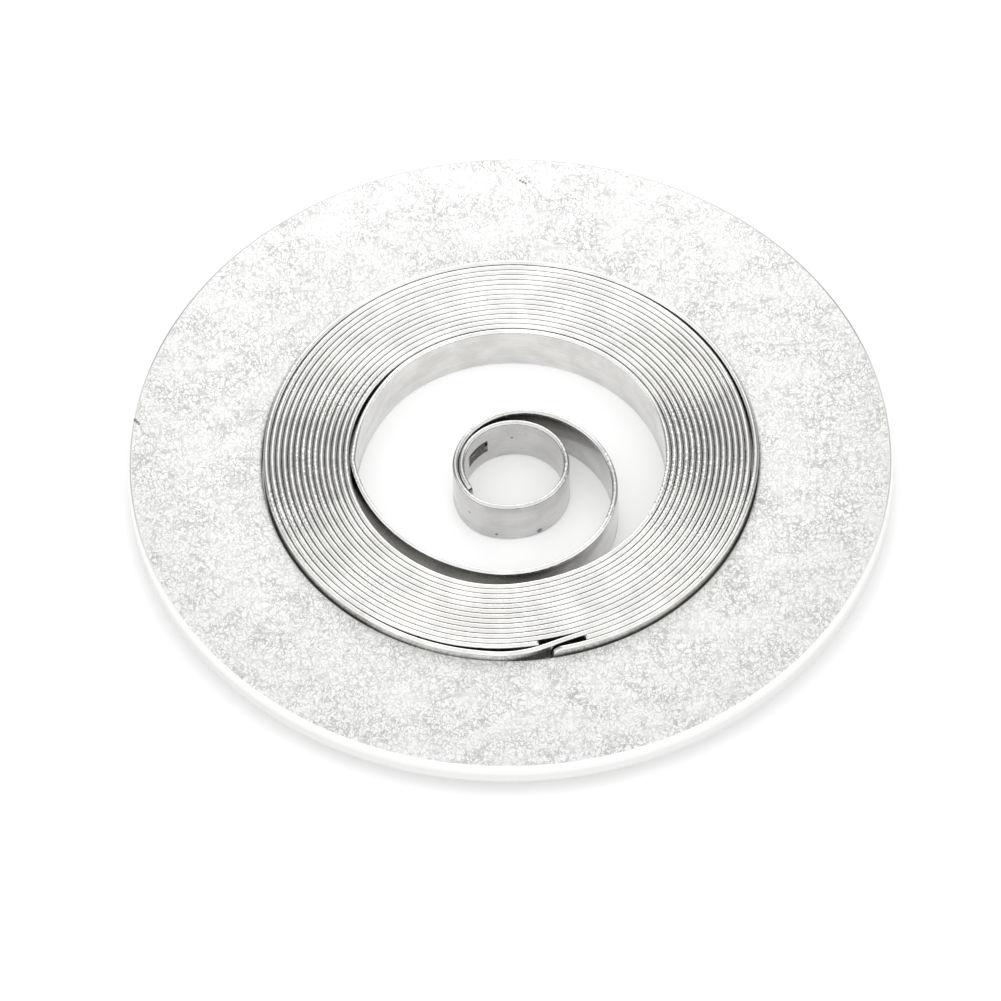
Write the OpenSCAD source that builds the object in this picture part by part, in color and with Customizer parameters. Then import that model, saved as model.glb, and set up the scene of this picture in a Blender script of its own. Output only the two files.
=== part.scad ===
// Watch mainspring as supplied: a coiled steel strip and its slipping bridle, held in a flat ring.
// Millimetres. The spring's axis is Z, and its lower edge lies on the plane z = 0.

/* [Retaining ring] */
// Outside diameter of the ring
ring_d = 15.4; // [13.6:0.1:20]
// Thickness of the ring
ring_t = 0.42; // [0.3:0.01:0.8]
// Diameter of the hole that holds the coil
hole_d = 10; // [9.4:0.1:12]
// Radius of the rolled upper rim, on the side where the punch went in
rim_r = 0.06; // [0.04:0.01:0.25]
// Radius of the upper edge of the hole
hole_edge_r = 0.06; // [0.02:0.01:0.2]

/* [Spring strip] */
// Thickness of the strip
strip_t = 0.1; // [0.07:0.005:0.12]
// Width of the strip, which is the height of the coil
strip_h = 1.05; // [0.9:0.05:1.5]
// Number of packed turns inside the bridle
packed_turns = 13; // [8:1:14]
// Clear space between packed turns
turn_gap = 0.028; // [0.02:0.002:0.04]
// Height by which the spring stands above the ring
proud = 0.15; // [0.05:0.01:0.35]
// Corner radius at the outer end of the strip
corner_r = 0.25; // [0.1:0.05:0.3]

/* [Slipping bridle] */
// Thickness of the bridle
bridle_t = 0.11; // [0.08:0.005:0.14]

/* [Eye and hook slot] */
// Inside diameter of the eye, which grips the barrel arbor
eye_d = 2; // [1.6:0.05:2.4]
// Length of the hook slot along the strip
slot_l = 0.6; // [0.4:0.05:1]
// Width of the hook slot across the strip
slot_w = 0.35; // [0.2:0.05:0.5]
// Height of the slot's lower side above the lower edge of the strip
slot_z = 0.35; // [0.15:0.01:0.45]
// Length of strip left between the slot and the inner end
slot_land = 1.1; // [0.5:0.05:1.5]
// Corner radius at the inner end of the strip
eye_corner_r = 0.12; // [0.05:0.01:0.14]

/* [Hidden] */
$fn = 96;

// Levels
ring_top = strip_h - proud;
ring_z = ring_top - ring_t;

// Radii of the centre lines, from the outer turn, which presses on the wall of the hole
pitch = strip_t + turn_gap;
outer_r = hole_d / 2 - strip_t / 2;
bridle_r = outer_r - strip_t / 2 - turn_gap - bridle_t / 2;
first_r = bridle_r - bridle_t / 2 - turn_gap - strip_t / 2;
inner_r = first_r - (packed_turns - 1) * pitch;

// Directions and sweeps are in degrees. Every turn is even for three quarters of its round and steps
// inwards in the last quarter, which starts in this direction from +X
step_start = -112;
// From there on: where each packed turn has stepped in, and the ends of the two strips
step = 47;
outer_tip = 32;
bridle_tip = 40.5;
// The outer turn's own step, which takes it past both ends of the bridle
tip_step_start = 17;
tip_step = 27;
// Share of the second half of its step that the bridle runs to
bridle_tail = 0.19;

// The last packed turn draws in, swings back against its neighbour and leaves it at a kink
last_even = 60;
loose_shares = [0.8, 1.18];
loose_sweeps = [13.6, 34.4];
kink_r = 0.5;
kink = 12.6;

// The free turn: each radius is a share of the way from the eye to the last packed turn
free_shares = [1.09, 0.59, 0.45, 0.16];
free_sweeps = [67, 56, 121, 91];

// The eye closes inside its own start, and a true bore takes this depth off it
lap_sweep = 50;
eye_step = 70;
eye_sweep = 290;
bored = 0.005;
eye_r = eye_d / 2 + strip_t / 2 - bored;

// Furthest that a flat face may lie from the true arc
chord_error = 0.008;

// Unit vector to the left of a heading
function left(heading) = [-sin(heading), cos(heading)];

// Two tangent arcs, [radius, sweep] each, that lead from one circle to a smaller one round the same centre
function step_in(from_r, to_r, sector) =
    let (
        slope = 4 * (from_r - to_r) / (from_r + to_r) / sector * pow(180 / PI, 2),
        first = sector / 2 + slope,
        second = sector - first,
        spread = (from_r - to_r) / (1 - (sin(first) + sin(second)) / sin(sector))
    )
    [
        [from_r + spread * sin(second) / sin(sector), first],
        [to_r - spread * sin(first) / sin(sector), second]
    ];

// Tangent arcs laid end to end: each comes out as [centre, radius, heading at its start, sweep]
function chain(arcs, point, heading, i = 0) =
    i == len(arcs) ? [] :
    let (
        r = arcs[i][0],
        turned = heading + arcs[i][1],
        centre = point + r * left(heading)
    )
    concat(
        [[centre, r, heading, arcs[i][1]]],
        chain(arcs, centre - r * left(turned), turned, i + 1)
    );

// Number of flat faces along an arc
function faces(arc) = ceil(abs(arc[3]) / acos(1 - chord_error / abs(arc[1])) / 2);

// Points along a chain of arcs, at a distance to the left of its centre line
function side(arcs, offset) = concat(
    [arcs[0][0] - (arcs[0][1] - offset) * left(arcs[0][2])],
    [for (arc = arcs, i = [1 : faces(arc)])
        arc[0] - (arc[1] - offset) * left(arc[2] + arc[3] * i / faces(arc))]
);

function reversed(list) = [for (i = [len(list) - 1 : -1 : 0]) list[i]];

// Plan of a strip of thickness t along a chain of arcs
module stretch(arcs, t) {
    polygon(concat(side(arcs, -t / 2), reversed(side(arcs, t / 2))));
}

// Plan of a strip on a whole circle
module whole_round(r, t) {
    difference() {
        circle(r + t / 2);
        circle(r - t / 2);
    }
}

// The even three quarters of a round, which end where the steps start
module even_round(r, t) {
    difference() {
        whole_round(r, t);
        translate([0, -2 * r])
            square(2 * r);
    }
}

// Where a circle of radius r is met at an angle after the start of the steps
function on_circle(r, angle) = r * [sin(angle), -cos(angle)];

// A strip's outer end, which lies at this angle and runs on into its first even round
module tip(r, angle, t) {
    intersection() {
        whole_round(r, t);
        polygon([[0, 0], on_circle(2 * r, angle), [2 * r, 0]]);
    }
}

// The quarter of the steps on the outer turn, which passes both ends of the bridle
function outer_quarter() = chain(
    concat(
        [[outer_r, tip_step_start]],
        step_in(outer_r, first_r, tip_step),
        [[first_r, 90 - tip_step_start - tip_step]]
    ),
    [0, -outer_r], 0
);

// The quarter of the steps that leads on to a packed turn of radius r
function packed_quarter(r) =
    chain(concat(step_in(r + pitch, r, step), [[r, 90 - step]]), [0, -r - pitch], 0);

// The last packed turn's second quarter, the free turn and the eye
inner_end = chain(
    concat(
        [[inner_r, last_even]],
        [for (i = [0 : len(loose_shares) - 1]) [inner_r * loose_shares[i], loose_sweeps[i]]],
        [[kink_r, kink]],
        [for (i = [0 : len(free_shares) - 1])
            [eye_r + free_shares[i] * (inner_r - eye_r), free_sweeps[i]]],
        [[eye_r + pitch, lap_sweep]],
        step_in(eye_r + pitch, eye_r, eye_step),
        [[eye_r, eye_sweep]]
    ),
    [0, inner_r], 180
);
eye = inner_end[len(inner_end) - 1];
eye_end = eye[2] + eye[3];

module spring_plan() {
    tip(outer_r, outer_tip, strip_t);
    even_round(outer_r, strip_t);
    stretch(outer_quarter(), strip_t);
    for (r = [first_r : -pitch : inner_r + pitch / 2]) {
        even_round(r, strip_t);
        stretch(packed_quarter(r - pitch), strip_t);
    }
    intersection() {
        even_round(inner_r, strip_t);
        square(2 * inner_r);
    }
    stretch(inner_end, strip_t);
}

// What rounds off both corners at an end of the strip, which runs on from a point with a heading
module end_corners(point, heading, r) {
    translate(point)
        rotate(heading)
            rotate([90, 0, 0])
                linear_extrude(pitch, center = true)
                    difference() {
                        translate([-r, -r])
                            square([2 * r, strip_h + 2 * r]);
                        for (z = [r, strip_h - r])
                            translate([r, z])
                                circle(r);
                        translate([0, r])
                            square([2 * r, strip_h - 2 * r]);
                    }
}

// What cuts the hook slot through the eye's inner turn
module hook_slot() {
    inside = eye_d / 4;
    sweep = slot_l / eye_r * 180 / PI;
    land = slot_land / eye_r * 180 / PI;
    translate([eye[0][0], eye[0][1], slot_z])
        rotate(eye_end - 90 - land - sweep)
            rotate_extrude(angle = sweep)
                translate([inside, 0])
                    square([eye_r + pitch / 2 - inside, slot_w]);
}

module mainspring() {
    color("silver")
        rotate(step_start + 90)
            difference() {
                linear_extrude(strip_h)
                    spring_plan();
                translate([eye[0][0], eye[0][1], -strip_h])
                    cylinder(d = eye_d, h = 3 * strip_h);
                hook_slot();
                end_corners(on_circle(outer_r, outer_tip), outer_tip, corner_r);
                end_corners(eye[0] - eye[1] * left(eye_end), eye_end + 180, eye_corner_r);
            }
}

module slipping_bridle() {
    tail = step_in(bridle_r, bridle_r - pitch, step);
    color("gainsboro")
        rotate(step_start + 90)
            linear_extrude(strip_h) {
                tip(bridle_r, bridle_tip, bridle_t);
                even_round(bridle_r, bridle_t);
                stretch(
                    chain([tail[0], [tail[1][0], tail[1][1] * bridle_tail]], [0, -bridle_r], 0),
                    bridle_t
                );
            }
}

// What rounds off an upper edge of the ring's section
module edge_cut(r) {
    difference() {
        square(2 * r);
        circle(r);
    }
}

module retaining_ring() {
    outside = ring_d / 2;
    inside = hole_d / 2;
    color("lightgray")
        translate([0, 0, ring_z])
            rotate_extrude()
                difference() {
                    translate([inside, 0])
                        square([outside - inside, ring_t]);
                    translate([outside - rim_r, ring_t - rim_r])
                        edge_cut(rim_r);
                    translate([inside + hole_edge_r, ring_t - hole_edge_r])
                        mirror([1, 0])
                            edge_cut(hole_edge_r);
                }
}

retaining_ring();
mainspring();
slipping_bridle();
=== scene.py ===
"""Watch mainspring in its retaining ring: rounded strips, rolled ring, finishes, light, floor and camera."""
import math
import bpy
from mathutils import Matrix, Vector


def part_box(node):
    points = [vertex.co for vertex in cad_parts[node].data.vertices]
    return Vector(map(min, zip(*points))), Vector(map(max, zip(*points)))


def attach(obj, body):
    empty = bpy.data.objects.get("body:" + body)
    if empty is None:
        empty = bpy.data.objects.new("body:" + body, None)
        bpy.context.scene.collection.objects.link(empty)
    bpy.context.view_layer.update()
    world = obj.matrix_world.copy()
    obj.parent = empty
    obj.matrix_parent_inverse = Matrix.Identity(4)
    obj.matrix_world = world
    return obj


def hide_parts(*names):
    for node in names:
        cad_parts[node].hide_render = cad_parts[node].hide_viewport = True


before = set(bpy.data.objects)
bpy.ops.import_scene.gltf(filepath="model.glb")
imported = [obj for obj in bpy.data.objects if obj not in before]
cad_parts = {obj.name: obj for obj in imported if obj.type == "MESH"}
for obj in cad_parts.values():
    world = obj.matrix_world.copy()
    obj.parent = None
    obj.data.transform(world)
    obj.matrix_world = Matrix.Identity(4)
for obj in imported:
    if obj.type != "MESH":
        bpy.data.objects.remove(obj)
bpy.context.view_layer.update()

MM = 0.001
UP = Vector((0, 0, 1))

# Levels and radii that the frame gives
ring_low, ring_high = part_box("retaining_ring")
spring_low, spring_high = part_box("mainspring")
ring_r = ring_high.x
hole_r = max(spring_high.x, spring_high.y)
strip_h = spring_high.z - spring_low.z

# The strips, in metres
strip_t = 0.1155 * MM
bridle_t = 0.118 * MM
packed_turns = 13
eye_d = 2 * MM
section_r = 0.0445 * MM
section_steps = 4
arc_step = math.radians(3)

# Directions and sweeps of the steps, in degrees
step_start = -112
step = 47
outer_tip = 30.6
bridle_tip = 39.2
tip_step_start = 16.9
tip_step = 24.4
bridle_tail = 0.19

# The outer turn stands off the hole in places: sweep held, stand-off after the next step, and that step's sweep
first_stand_off = 0.03 * MM
slack = (
    (60, 0, 25),
    (35, 0.022 * MM, 25),
    (85, 0.03 * MM, 40),
    (35, 0, 30),
)

# The last packed turn, which draws off its neighbour at the back, the free turn and the eye
last_held = 85
last_step = 50
last_even = 60
loose_shares = (0.8, 1.18)
loose_sweeps = (13.6, 34.4)
kink_r = 0.5 * MM
kink = 12.6
free_shares = (1.105, 0.59, 0.45, 0.16)
free_sweeps = (67, 56, 121, 91)
lap_sweep = 50
eye_step = 70
eye_sweep = 290

# The hook slot and the rounded ends
slot_l = 0.6 * MM
slot_w = 0.35 * MM
slot_z = 0.35 * MM
slot_land = 1.1 * MM
slot_steps = 12
corner_r = 0.25 * MM
eye_corner_r = 0.12 * MM
bridle_corner_r = 0.05 * MM
corner_steps = 6
weld = 0.001 * MM

outer_r = hole_r - strip_t / 2
bridle_r = 4.788 * MM
first_r = 4.6645 * MM
packed_r = 3.18 * MM
inner_r = 3.148 * MM
last_r = 3.17 * MM
pitch = (first_r - packed_r) / (packed_turns - 1)
eye_r = eye_d / 2 + strip_t / 2

# The eye's axis, the share of brightness kept by the darker steel round it, and pits in the strip as (x, y, z,
# radius)
eye_x = 0.0648 * MM
eye_y = -0.1962 * MM
eye_share = 0.84
pits = (
    (0.553 * MM, -1.2 * MM, 0.125 * MM, 0.08 * MM),
    (-0.31 * MM, -1.294 * MM, 0.16 * MM, 0.045 * MM),
    (-0.82 * MM, -1.006 * MM, 0.56 * MM, 0.06 * MM),
    (0.042 * MM, 0.804 * MM, 0.586 * MM, 0.035 * MM),
    (3 * MM, -0.565 * MM, 1.03 * MM, 0.05 * MM),
)

# Dents in the ring's rim and face, as (x, y, z, radius)
dents = (
    (-7.58 * MM, 1.26 * MM, 0.88 * MM, 0.045 * MM),
    (-7.54 * MM, 1.22 * MM, 0.9 * MM, 0.05 * MM),
    (-7.5 * MM, 1.17 * MM, 0.9 * MM, 0.045 * MM),
    (-7.46 * MM, 1.12 * MM, 0.9 * MM, 0.035 * MM),
    (0.33 * MM, 7.1 * MM, 0.9 * MM, 0.04 * MM),
    (0.38 * MM, 7.06 * MM, 0.9 * MM, 0.04 * MM),
    (0.44 * MM, 7.03 * MM, 0.9 * MM, 0.035 * MM),
    (0.51 * MM, 7.06 * MM, 0.9 * MM, 0.03 * MM),
)

# The ring's edges
rim_w = 0.07 * MM
rim_drop = 0.16 * MM
hole_edge_r = 0.06 * MM
ring_sides = 256


def left(heading):
    """Unit vector to the left of a heading in degrees."""
    angle = math.radians(heading)
    return Vector((-math.sin(angle), math.cos(angle), 0))


def step_in(from_r, to_r, sector):
    """Two tangent arcs, (radius, sweep) each, that lead from one circle to another round the same centre."""
    slope = 4 * (from_r - to_r) / (from_r + to_r) / sector * math.degrees(1) ** 2
    first = sector / 2 + slope
    second = sector - first
    sine_first, sine_second, sine_all = (math.sin(math.radians(a)) for a in (first, second, sector))
    spread = (from_r - to_r) / (1 - (sine_first + sine_second) / sine_all)
    return [
        (from_r + spread * sine_second / sine_all, first),
        (to_r - spread * sine_first / sine_all, second),
    ]


def on_circle(r, angle):
    """Where a circle round the axis is met, at an angle after the start of the steps."""
    return -r * left(step_start + 90 + angle)


def spring_arcs():
    """The mainspring's centre line from its outer tip to the end of the eye, as (radius, sweep) arcs."""
    arcs = []
    r = outer_r - first_stand_off
    for held, stand_off, sweep in slack:
        arcs.append((r, held))
        arcs += step_in(r, outer_r - stand_off, sweep)
        r = outer_r - stand_off
    rest = 360 - outer_tip + tip_step_start - sum(held + sweep for held, stand_off, sweep in slack)
    arcs.append((r, rest))
    arcs += step_in(r, first_r, tip_step)
    arcs.append((first_r, 360 - tip_step_start - tip_step))
    for turn in range(1, packed_turns - 1):
        r = first_r - turn * pitch
        arcs += step_in(r + pitch, r, step)
        arcs.append((r, 360 - step))
    arcs += step_in(packed_r + pitch, packed_r, step)
    arcs.append((packed_r, last_held))
    arcs += step_in(packed_r, last_r, last_step)
    arcs.append((last_r, 180 - step - last_held - last_step + last_even))
    arcs += [(inner_r * share, sweep) for share, sweep in zip(loose_shares, loose_sweeps)]
    arcs.append((kink_r, kink))
    arcs += [(eye_r + share * (inner_r - eye_r), sweep) for share, sweep in zip(free_shares, free_sweeps)]
    arcs.append((eye_r + pitch, lap_sweep))
    arcs += step_in(eye_r + pitch, eye_r, eye_step)
    arcs.append((eye_r, eye_sweep))
    return arcs


def bridle_arcs():
    """The bridle's centre line from its outer tip to its tail."""
    first, second = step_in(bridle_r, bridle_r - pitch, step)
    return [(bridle_r, 360 - bridle_tip), first, (second[0], second[1] * bridle_tail)]


def edit(piece):
    """Opens one piece in edit mode, with nothing selected."""
    bpy.ops.object.select_all(action="DESELECT")
    bpy.context.view_layer.objects.active = piece
    piece.select_set(True)
    bpy.ops.object.mode_set(mode="EDIT")
    bpy.ops.mesh.select_all(action="DESELECT")


def close_edit():
    bpy.ops.object.mode_set(mode="OBJECT")


def strip_section(point, heading, t):
    """A strip's section, left open and selected in edit mode: an upright rectangle with rounded corners."""
    bpy.ops.object.select_all(action="DESELECT")
    bpy.ops.mesh.primitive_plane_add(size=1)
    section = bpy.context.object
    across = left(heading)
    section.data.transform(Matrix((
        (across.x * t, 0, 0, point.x),
        (across.y * t, 0, 0, point.y),
        (0, strip_h, 0, strip_h / 2),
        (0, 0, 0, 1),
    )))
    bpy.ops.object.mode_set(mode="EDIT")
    bpy.ops.mesh.select_all(action="SELECT")
    bpy.ops.mesh.bevel(offset=section_r, segments=section_steps, affect="VERTICES")
    bpy.ops.mesh.select_all(action="SELECT")
    return section


def squeeze(share):
    """Scales the selected section's height about the middle of the strip."""
    bpy.ops.transform.resize(value=(1, 1, share), center_override=(0, 0, strip_h / 2))


def end_share(from_end, r):
    """Share of the strip's width that is left at a distance from its end, where both corners are rounded."""
    rest = min(1, max(0, 1 - from_end / r))
    inset = r - r * math.sqrt(1 - rest * rest)
    return 1 - 2 * inset / strip_h


def bend(centre, sweep, shares):
    """Spins the open section round a centre. Its height passes through the given shares of the strip's width."""
    if not shares:
        steps = max(2, round(math.radians(sweep) / arc_step))
        bpy.ops.mesh.spin(steps=steps, angle=-math.radians(sweep), center=centre, axis=UP)
        return
    squeeze(shares[0])
    steps = len(shares) - 1
    for before, after in zip(shares, shares[1:]):
        bpy.ops.mesh.spin(steps=1, angle=-math.radians(sweep / steps), center=centre, axis=UP)
        squeeze(after / before)


def strip_along(name, arcs, point, heading, t, corners):
    """A strip bent along tangent arcs, each from its own section, and joined end to end.
    The first and last arcs hold the rounded corners at the two ends."""
    distances = [i / corner_steps for i in range(corner_steps + 1)]
    first_shares = [end_share(d * corners[0], corners[0]) for d in distances]
    last_shares = [end_share((1 - d) * corners[1], corners[1]) for d in distances]
    lengths = []
    for i, (r, sweep) in enumerate(arcs):
        shares = first_shares if i == 0 else last_shares if i == len(arcs) - 1 else None
        length = strip_section(point, heading, t)
        centre = point + r * left(heading)
        bend(centre, sweep, shares)
        close_edit()
        lengths.append(length)
        heading += sweep
        point = centre - r * left(heading)
    for length in lengths:
        length.select_set(True)
    bpy.ops.object.join()
    piece = bpy.context.object
    piece.name = name
    edit(piece)
    bpy.ops.mesh.select_all(action="SELECT")
    bpy.ops.mesh.remove_doubles(threshold=weld)
    bpy.ops.mesh.select_all(action="DESELECT")
    bpy.ops.mesh.select_mode(type="FACE")
    bpy.ops.mesh.select_interior_faces()
    bpy.ops.mesh.delete(type="FACE")
    bpy.ops.mesh.select_all(action="SELECT")
    bpy.ops.mesh.normals_make_consistent(inside=False)
    close_edit()
    bpy.ops.object.shade_smooth_by_angle(angle=math.radians(35))
    return piece


def with_ends(arcs, corners):
    """The same arcs, with the lengths that hold the rounded corners split off both ends."""
    (first_arc_r, first_sweep), (last_arc_r, last_sweep) = arcs[0], arcs[-1]
    first_end = math.degrees(corners[0] / first_arc_r)
    last_end = math.degrees(corners[1] / last_arc_r)
    return [
        (first_arc_r, first_end),
        (first_arc_r, first_sweep - first_end),
        *arcs[1:-1],
        (last_arc_r, last_sweep - last_end),
        (last_arc_r, last_end),
    ]


def slot_cutter(centre, end_heading):
    """What cuts the hook slot: an upright rectangle spun round the eye."""
    sweep = math.degrees(slot_l / eye_r)
    start = end_heading - math.degrees(slot_land / eye_r) - sweep
    inside, outside = eye_r - pitch, eye_r + pitch / 2
    outward = -left(start)
    bpy.ops.object.select_all(action="DESELECT")
    bpy.ops.mesh.primitive_plane_add(size=1)
    cutter = bpy.context.object
    middle = centre + (inside + outside) / 2 * outward
    cutter.data.transform(Matrix((
        (outward.x * (outside - inside), 0, 0, middle.x),
        (outward.y * (outside - inside), 0, 0, middle.y),
        (0, slot_w, 0, slot_z + slot_w / 2),
        (0, 0, 0, 1),
    )))
    bpy.ops.object.mode_set(mode="EDIT")
    bpy.ops.mesh.select_all(action="SELECT")
    bpy.ops.mesh.spin(steps=slot_steps, angle=-math.radians(sweep), center=centre, axis=UP)
    bpy.ops.mesh.select_all(action="SELECT")
    bpy.ops.mesh.normals_make_consistent(inside=False)
    close_edit()
    return cutter


def cut(piece, cutter):
    """Takes the cutter's shape out of a piece, and removes the cutter."""
    bpy.ops.object.select_all(action="DESELECT")
    bpy.context.view_layer.objects.active = piece
    piece.select_set(True)
    bpy.ops.object.modifier_add(type="BOOLEAN")
    piece.modifiers[-1].operation = "DIFFERENCE"
    piece.modifiers[-1].object = cutter
    bpy.ops.object.modifier_apply(modifier=piece.modifiers[-1].name)
    bpy.data.objects.remove(cutter)


def make_mainspring():
    arcs = with_ends(spring_arcs(), (corner_r, eye_corner_r))
    point = on_circle(outer_r - first_stand_off, outer_tip)
    heading = step_start + 90 + outer_tip
    piece = strip_along("spring_strip", arcs, point, heading, strip_t, (corner_r, eye_corner_r))
    for r, sweep in arcs:
        centre = point + r * left(heading)
        heading += sweep
        point = centre - r * left(heading)
    cut(piece, slot_cutter(centre, heading))
    return piece


def make_bridle():
    corners = (bridle_corner_r, bridle_corner_r)
    arcs = with_ends(bridle_arcs(), corners)
    heading = step_start + 90 + bridle_tip
    return strip_along("bridle_strip", arcs, on_circle(bridle_r, bridle_tip), heading, bridle_t, corners)


def make_ring():
    """The flat ring: its section, with a rolled rim and a softened hole edge, spun round the axis."""
    bpy.ops.object.select_all(action="DESELECT")
    bpy.ops.mesh.primitive_plane_add(size=1)
    piece = bpy.context.object
    piece.name = "rolled_ring"
    ring_t = ring_high.z - ring_low.z
    piece.data.transform(Matrix((
        (ring_r - hole_r, 0, 0, (ring_r + hole_r) / 2),
        (0, 0, 0, 0),
        (0, ring_t, 0, ring_low.z + ring_t / 2),
        (0, 0, 0, 1),
    )))
    round_corner(piece, ring_r, rim_drop, 8, rim_w / rim_drop)
    round_corner(piece, hole_r, hole_edge_r, 4, 1)
    edit(piece)
    bpy.ops.mesh.select_all(action="SELECT")
    bpy.ops.mesh.delete(type="ONLY_FACE")
    bpy.ops.mesh.select_all(action="SELECT")
    bpy.ops.mesh.spin(steps=ring_sides, angle=2 * math.pi, center=(0, 0, 0), axis=UP)
    bpy.ops.mesh.select_all(action="SELECT")
    bpy.ops.mesh.remove_doubles(threshold=weld)
    bpy.ops.mesh.normals_make_consistent(inside=False)
    close_edit()
    bpy.ops.object.shade_smooth_by_angle(angle=math.radians(35))
    return piece


def round_corner(piece, x, r, steps, stretch):
    """Rounds the upper corner of the ring's section at x, and scales the rounding's width along the sheet."""
    edit(piece)
    bpy.ops.mesh.select_mode(type="VERT")
    close_edit()
    for point in piece.data.vertices:
        point.select = (point.co - Vector((x, 0, ring_high.z))).length < weld
    bpy.ops.object.mode_set(mode="EDIT")
    bpy.ops.mesh.bevel(offset=r, segments=steps, affect="VERTICES")
    bpy.ops.transform.resize(value=(stretch, 1, 1), center_override=(x, 0, 0))
    close_edit()


def new_material(name):
    """A material with its shader and node tree ready."""
    made = bpy.data.materials.new(name)
    made.use_nodes = True
    return made, made.node_tree.nodes, made.node_tree.links


def add_noise(nodes, links, place, scale, detail, roughness=0.5, distortion=0):
    """Noise over the piece, with its own scale per metre along each axis."""
    mapping = nodes.new("ShaderNodeMapping")
    mapping.inputs["Scale"].default_value = scale
    noise = nodes.new("ShaderNodeTexNoise")
    noise.inputs["Scale"].default_value = 1
    noise.inputs["Detail"].default_value = detail
    noise.inputs["Roughness"].default_value = roughness
    noise.inputs["Distortion"].default_value = distortion
    links.new(place.outputs["Object"], mapping.inputs["Vector"])
    links.new(mapping.outputs["Vector"], noise.inputs["Vector"])
    return noise.outputs["Fac"]


def spread(nodes, links, value, low, high, to_low, to_high):
    """Maps a stretch of a value to another stretch, and holds it there."""
    node = nodes.new("ShaderNodeMapRange")
    node.interpolation_type = "SMOOTHSTEP"
    for name, number in zip(("From Min", "From Max", "To Min", "To Max"), (low, high, to_low, to_high)):
        node.inputs[name].default_value = number
    links.new(value, node.inputs["Value"])
    return node.outputs["Result"]


def combine(nodes, links, operation, first, second):
    node = nodes.new("ShaderNodeMath")
    node.operation = operation
    links.new(first, node.inputs[0])
    links.new(second, node.inputs[1])
    return node.outputs["Value"]


def tint(nodes, links, value, dark, pale):
    """A colour between two, by a value from 0 to 1."""
    node = nodes.new("ShaderNodeMix")
    node.data_type = "RGBA"
    node.inputs["A"].default_value = (*dark, 1)
    node.inputs["B"].default_value = (*pale, 1)
    links.new(value, node.inputs["Factor"])
    return node.outputs["Result"]


def raise_surface(nodes, links, height, distance, shader):
    bump = nodes.new("ShaderNodeBump")
    bump.inputs["Distance"].default_value = distance
    links.new(height, bump.inputs["Height"])
    links.new(bump.outputs["Normal"], shader.inputs["Normal"])


def ridges(nodes, links, noise, width):
    """Worm-like lines, 1 along them and 0 beside them, where noise passes through its middle."""
    middle = nodes.new("ShaderNodeMath")
    middle.operation = "SUBTRACT"
    middle.inputs[1].default_value = 0.5
    links.new(noise, middle.inputs[0])
    distance = nodes.new("ShaderNodeMath")
    distance.operation = "ABSOLUTE"
    links.new(middle.outputs["Value"], distance.inputs[0])
    return spread(nodes, links, distance.outputs["Value"], 0, width, 1, 0)


def from_axis(nodes, links, place, x, y):
    """Distance from an upright axis through (x, y)."""
    level = nodes.new("ShaderNodeMapping")
    level.inputs["Location"].default_value = (-x, -y, 0)
    level.inputs["Scale"].default_value = (1, 1, 0)
    distance = nodes.new("ShaderNodeVectorMath")
    distance.operation = "LENGTH"
    links.new(place.outputs["Object"], level.inputs["Vector"])
    links.new(level.outputs["Vector"], distance.inputs[0])
    return distance.outputs["Value"]


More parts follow.
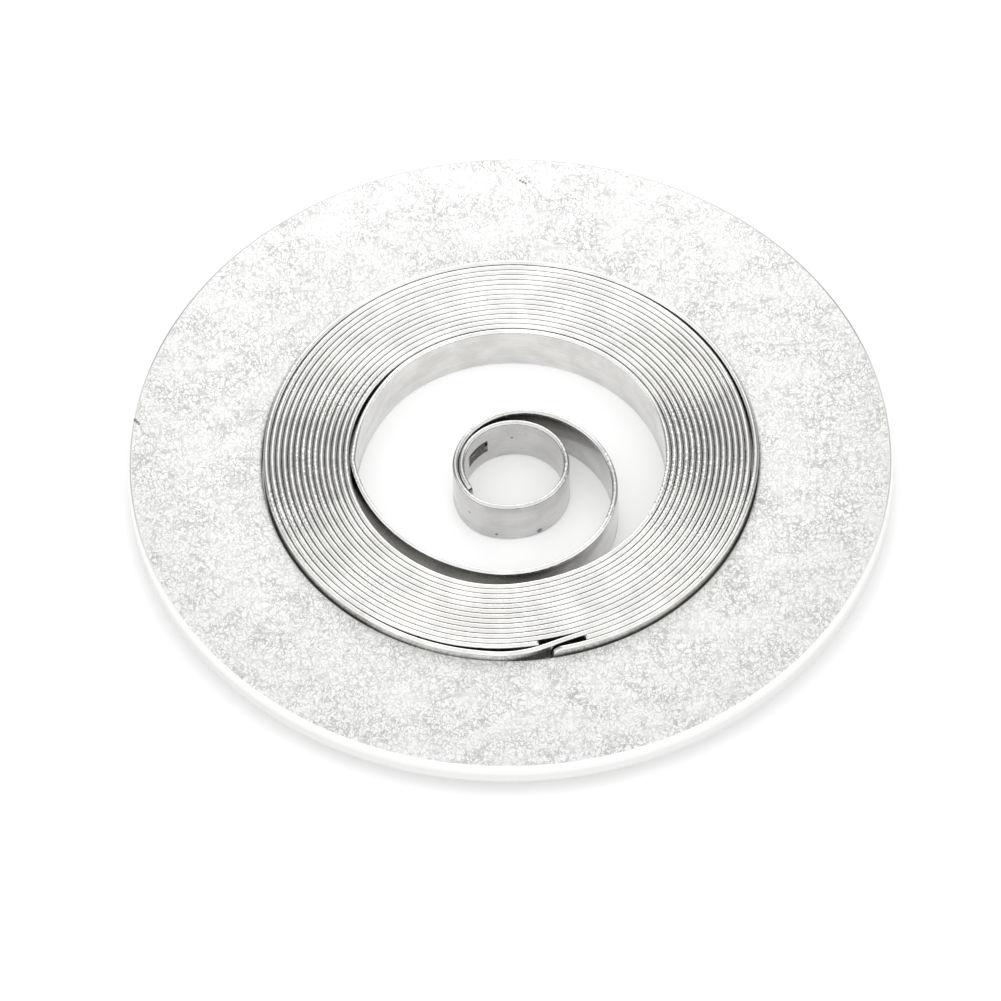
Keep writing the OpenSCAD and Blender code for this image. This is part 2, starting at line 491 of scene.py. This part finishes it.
def rolled_aluminium():
    """Dull rolled sheet: fine worm-like marks in cloudy patches, faint drawn lines both ways, and a smooth rim, with
    painted shade on the walls and underside and on the rim's crest at the back.
    """
    made, nodes, links = new_material("rolled_aluminium")
    shader = nodes["Principled BSDF"]
    place = nodes.new("ShaderNodeTexCoord")
    worms = ridges(nodes, links, add_noise(nodes, links, place, (6200, 5000, 5500), 1, 0.5, 0.6), 0.05)
    grain = ridges(nodes, links, add_noise(nodes, links, place, (10500, 8500, 9000), 1, 0.5, 0.4), 0.06)
    clouds = spread(nodes, links, add_noise(nodes, links, place, (1000, 1300, 1000), 3, 0.65), 0.35, 0.65, 0.5, 1)
    drawn = spread(nodes, links, add_noise(nodes, links, place, (11000, 1500, 2000), 2), 0.56, 0.75, 0, 0.6)
    wavy = spread(nodes, links, add_noise(nodes, links, place, (1800, 8500, 2000), 2, 0.5, 0.5), 0.56, 0.75, 0, 0.7)
    marks = combine(nodes, links, "MAXIMUM", worms, grain)
    lines = combine(nodes, links, "MAXIMUM", drawn, wavy)
    both = combine(nodes, links, "MAXIMUM", marks, lines)
    radius = from_axis(nodes, links, place, 0, 0)
    flat = spread(nodes, links, radius, ring_r - 1.2 * rim_w, ring_r - 0.9 * rim_w, 1, 0)
    worn = combine(nodes, links, "MULTIPLY", combine(nodes, links, "MULTIPLY", both, clouds), flat)
    colour = tint(nodes, links, worn, (0.79, 0.79, 0.777), (0.46, 0.46, 0.453))
    burnished = spread(nodes, links, flat, 0, 1, 1.04, 1)
    split = nodes.new("ShaderNodeSeparateXYZ")
    links.new(place.outputs["Object"], split.inputs["Vector"])
    # Painted shade: the rim's crest is darkened to 0.42 of its colour towards the back of the ring.
    back = spread(nodes, links, split.outputs["Y"], 1 * MM, 4 * MM, 0, 1)
    rim = spread(nodes, links, radius, ring_r - 1.2 * rim_w, ring_r - 0.8 * rim_w, 0, 1)
    crest = spread(nodes, links, split.outputs["Z"], ring_high.z - 0.06 * MM, ring_high.z - 0.04 * MM, 0, 1)
    back_crest = combine(nodes, links, "MULTIPLY", crest, back)
    back_crest_painted_shade = spread(nodes, links, combine(nodes, links, "MULTIPLY", rim, back_crest), 0, 1, 1, 0.42)
    # Painted shade: the ring's walls and underside, from 0.16 to 0.24 mm below its top downwards, are darkened to
    # 0.92 of its colour.
    wall_painted_shade = spread(nodes, links, split.outputs["Z"], ring_high.z - 0.24 * MM, ring_high.z - 0.16 * MM, 0.92, 1)
    edge_painted_shade = combine(nodes, links, "MULTIPLY", back_crest_painted_shade, wall_painted_shade)
    rim_burnish_and_painted_shade = combine(nodes, links, "MULTIPLY", burnished, edge_painted_shade)
    kept = combine(nodes, links, "MULTIPLY", clear_of(nodes, links, place, dents), rim_burnish_and_painted_shade)
    links.new(shade(nodes, links, colour, kept), shader.inputs["Base Color"])
    shader.inputs["Metallic"].default_value = 1
    links.new(spread(nodes, links, flat, 0, 1, 0.35, 0.57), shader.inputs["Roughness"])
    raise_surface(nodes, links, worn, -0.002 * MM, shader)
    return made


def shade(nodes, links, colour, share):
    """A colour taken down to a share of itself."""
    node = nodes.new("ShaderNodeVectorMath")
    node.operation = "SCALE"
    links.new(colour, node.inputs["Vector"])
    links.new(share, node.inputs["Scale"])
    return node.outputs["Vector"]


def clear_of(nodes, links, place, spots):
    """Share of the brightness that is kept: 1 on the clean surface, and less in spots given as (x, y, z, radius)."""
    share = None
    for x, y, z, r in spots:
        spot = nodes.new("ShaderNodeVectorMath")
        spot.operation = "DISTANCE"
        spot.inputs[1].default_value = (x, y, z)
        links.new(place.outputs["Object"], spot.inputs[0])
        kept = spread(nodes, links, spot.outputs["Value"], 0.4 * r, r, 0.3, 1)
        share = combine(nodes, links, "MULTIPLY", share, kept) if share else kept
    return share


def spring_steel(name, dark, pale):
    """Polished strip with faint marks along its length, small dull specks and slightly rough edges."""
    made, nodes, links = new_material(name)
    shader = nodes["Principled BSDF"]
    place = nodes.new("ShaderNodeTexCoord")
    along = add_noise(nodes, links, place, (500, 500, 18000), 2)
    specks = add_noise(nodes, links, place, (9000, 9000, 9000), 2, 0.7)
    fine = add_noise(nodes, links, place, (14000, 14000, 14000), 1)
    patches = add_noise(nodes, links, place, (900, 900, 300), 2)
    drawn = spread(nodes, links, along, 0.3, 0.7, 0.8, 1)
    clean = spread(nodes, links, specks, 0.24, 0.3, 0, 1)
    bright = combine(nodes, links, "MULTIPLY", drawn, clean)
    colour = tint(nodes, links, bright, dark, pale)
    links.new(shade(nodes, links, colour, kept_brightness(nodes, links, place)), shader.inputs["Base Color"])
    shader.inputs["Metallic"].default_value = 1
    links.new(spread(nodes, links, bright, 0, 1, 0.32, 0.17), shader.inputs["Roughness"])
    patchy = spread(nodes, links, patches, 0.45, 0.65, 0.3, 1.6)
    rough = combine(nodes, links, "MULTIPLY", patchy, near_edges(nodes, links, place))
    raise_surface(nodes, links, combine(nodes, links, "MULTIPLY", fine, rough), 0.007 * MM, shader)
    return made


def near_edges(nodes, links, place):
    """1 at the strip's upper and lower edges, and 0 on its faces between them."""
    split = nodes.new("ShaderNodeSeparateXYZ")
    from_middle = nodes.new("ShaderNodeMath")
    from_middle.operation = "SUBTRACT"
    from_middle.inputs[1].default_value = strip_h / 2
    off_middle = nodes.new("ShaderNodeMath")
    off_middle.operation = "ABSOLUTE"
    links.new(place.outputs["Object"], split.inputs["Vector"])
    links.new(split.outputs["Z"], from_middle.inputs[0])
    links.new(from_middle.outputs["Value"], off_middle.inputs[0])
    return spread(nodes, links, off_middle.outputs["Value"], strip_h / 2 - 0.08 * MM, strip_h / 2 - 0.03 * MM, 0, 1)


def kept_brightness(nodes, links, place):
    """Share of its brightness that the strip keeps: it is darker round the eye, mottled, and darker at pits."""
    from_eye = from_axis(nodes, links, place, eye_x, eye_y)
    # Darker within 1.3 mm of the eye's axis, back to full brightness by 2.4 mm.
    near_eye_darker = spread(nodes, links, from_eye, 1.3 * MM, 2.4 * MM, eye_share, 1)
    mottled = spread(nodes, links, add_noise(nodes, links, place, (1400, 1400, 2200), 3, 0.6), 0.35, 0.65, 0.92, 1.06)
    both = combine(nodes, links, "MULTIPLY", near_eye_darker, mottled)
    return combine(nodes, links, "MULTIPLY", both, clear_of(nodes, links, place, pits))


def finish_piece(piece, material, node):
    """Gives a piece its material, and lets it stand for its node."""
    piece.data.materials.clear()
    piece.data.materials.append(material)
    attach(piece, "root")
    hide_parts(node)


finish_piece(make_ring(), rolled_aluminium(), "retaining_ring")
strip_steel = spring_steel("spring_steel", (0.5, 0.495, 0.486), (0.69, 0.685, 0.671))
bridle_steel = spring_steel("bridle_steel", (0.52, 0.515, 0.506), (0.71, 0.705, 0.691))
finish_piece(make_mainspring(), strip_steel, "mainspring")
finish_piece(make_bridle(), bridle_steel, "slipping_bridle")


# Floor
def make_floor():
    bpy.ops.object.select_all(action="DESELECT")
    bpy.ops.mesh.primitive_plane_add(size=2)
    floor = bpy.context.object
    floor.name = "floor"
    made, nodes, links = new_material("white_floor")
    nodes.remove(nodes["Principled BSDF"])
    paper = nodes.new("ShaderNodeBsdfDiffuse")
    paper.inputs["Color"].default_value = (0.8, 0.8, 0.8, 1)
    shine = nodes.new("ShaderNodeEmission")
    shine.inputs["Strength"].default_value = 0.23
    seen = nodes.new("ShaderNodeAddShader")
    path = nodes.new("ShaderNodeLightPath")
    mix = nodes.new("ShaderNodeMixShader")
    either = nodes.new("ShaderNodeMath")
    either.operation = "MAXIMUM"
    most = nodes.new("ShaderNodeMath")
    most.operation = "MAXIMUM"
    links.new(path.outputs["Is Camera Ray"], either.inputs[0])
    links.new(path.outputs["Is Glossy Ray"], either.inputs[1])
    links.new(either.outputs[0], most.inputs[0])
    links.new(path.outputs["Is Transmission Ray"], most.inputs[1])
    links.new(paper.outputs[0], seen.inputs[0])
    links.new(shine.outputs[0], seen.inputs[1])
    links.new(most.outputs[0], mix.inputs["Fac"])
    links.new(paper.outputs[0], mix.inputs[1])
    links.new(seen.outputs[0], mix.inputs[2])
    links.new(mix.outputs[0], nodes["Material Output"].inputs["Surface"])
    floor.data.materials.append(made)


make_floor()


# Light: a panel low behind the part, in a bright studio with a dark card at the back on either side
panel_size = 0.026
panel_place = Vector((-0.0015, 0.03, 0.016))
panel_power = 0.0024
studio_level = 1.38
front_gain = 0.1
card_dark = 0.7


def make_light():
    lamp = bpy.data.lights.new("panel", "AREA")
    lamp.shape = "SQUARE"
    lamp.size = panel_size
    lamp.energy = panel_power
    panel = bpy.data.objects.new("panel", lamp)
    panel.location = panel_place
    panel.rotation_euler = panel_place.to_track_quat("Z", "Y").to_euler()
    bpy.context.scene.collection.objects.link(panel)
    world = bpy.data.worlds.new("studio")
    world.use_nodes = True
    nodes, links = world.node_tree.nodes, world.node_tree.links
    direction = nodes.new("ShaderNodeTexCoord")
    split = nodes.new("ShaderNodeSeparateXYZ")
    aside = nodes.new("ShaderNodeMath")
    aside.operation = "ABSOLUTE"
    links.new(direction.outputs["Generated"], split.inputs["Vector"])
    links.new(split.outputs["X"], aside.inputs[0])
    across = spread(nodes, links, aside.outputs["Value"], 0.08, 0.34, 0, 1)
    near = spread(nodes, links, split.outputs["Y"], 0.28, 0.48, 0, 1)
    far = spread(nodes, links, split.outputs["Y"], 0.72, 0.88, 1, 0)
    card = combine(nodes, links, "MULTIPLY", across, combine(nodes, links, "MULTIPLY", near, far))
    past_cards = spread(nodes, links, card, 0, 1, studio_level, studio_level * (1 - card_dark))
    front = nodes.new("ShaderNodeMath")
    front.operation = "MULTIPLY_ADD"
    front.inputs[1].default_value = -front_gain
    front.inputs[2].default_value = 1
    links.new(split.outputs["Y"], front.inputs[0])
    level = combine(nodes, links, "MULTIPLY", past_cards, front.outputs["Value"])
    links.new(level, nodes["Background"].inputs["Strength"])
    nodes["Background"].inputs["Color"].default_value = (1, 1, 1, 1)
    bpy.context.scene.world = world


make_light()


# Camera
photo_px = 1001
px_per_metre = 49740
coil_top_px = (510.3, 455.5)
view_elevation = math.radians(53.1)
view_roll = math.radians(1.3)
view_distance = 0.43


def make_camera():
    back = Vector((0, -math.cos(view_elevation), math.sin(view_elevation)))
    level = Vector((1, 0, 0))
    upright = back.cross(level)
    right = math.cos(view_roll) * level - math.sin(view_roll) * upright
    top = math.sin(view_roll) * level + math.cos(view_roll) * upright
    aside = (coil_top_px[0] - photo_px / 2) / px_per_metre
    above = (photo_px / 2 - coil_top_px[1]) / px_per_metre
    place = Vector((0, 0, strip_h)) + view_distance * back - aside * right - above * top
    camera = bpy.data.objects.new("camera", bpy.data.cameras.new("camera"))
    bpy.context.scene.collection.objects.link(camera)
    camera.matrix_world = Matrix.Translation(place) @ Matrix((right, top, back)).transposed().to_4x4()
    camera.data.sensor_width = 36
    camera.data.lens = camera.data.sensor_width * view_distance * px_per_metre / photo_px
    camera.data.clip_start = 0.01
    bpy.context.scene.camera = camera


make_camera()

bpy.context.scene.view_settings.view_transform = "Standard"
